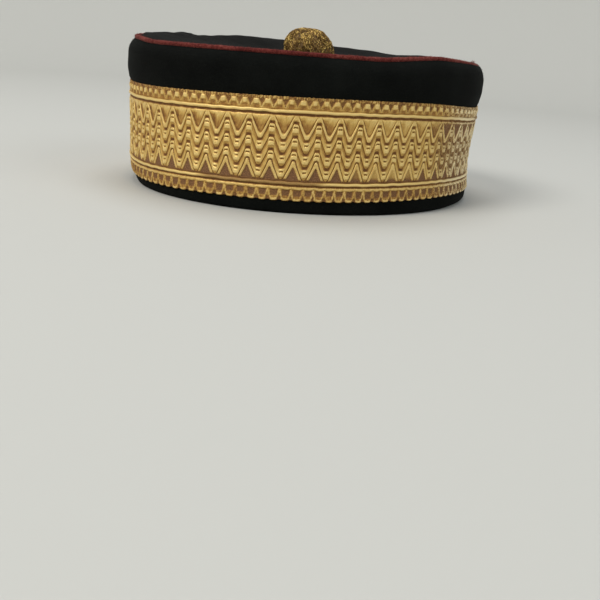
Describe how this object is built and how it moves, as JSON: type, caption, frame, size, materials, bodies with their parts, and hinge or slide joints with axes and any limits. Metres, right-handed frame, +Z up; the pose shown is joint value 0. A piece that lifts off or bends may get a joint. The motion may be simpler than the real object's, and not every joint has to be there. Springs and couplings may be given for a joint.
{
  "type": "pillbox cap",
  "caption": "Stiff oval pillbox cap of black cloth with a broad gold zigzag lace round the side, thin red piping at the top seam and a domed wire-covered button.",
  "frame": {"origin": "on the surface that the cap rests on, under the middle of its outline", "axes": "+Z up, -Y towards the front of the cap, the cap's length along Y and its width along X"},
  "size_m": [0.1739, 0.1915, 0.0816],
  "materials": {
    "side_cloth": "black napped wool cloth, matt",
    "crown_cloth": "black napped wool cloth, slightly greyed with wear",
    "piping_cloth": "dull red wool cloth over a cord, slightly fuzzy",
    "gold_lace": "woven gold metal-thread lace, satin, brown in the grooves",
    "gold_wire": "netted gilt wire, darkened with age"
  },
  "bodies": {
    "root": {"side_wall": "side_cloth", "crown_top": "crown_cloth", "piping": "piping_cloth", "lace_band": "gold_lace", "button": "gold_wire"}
  },
  "joints": []
}
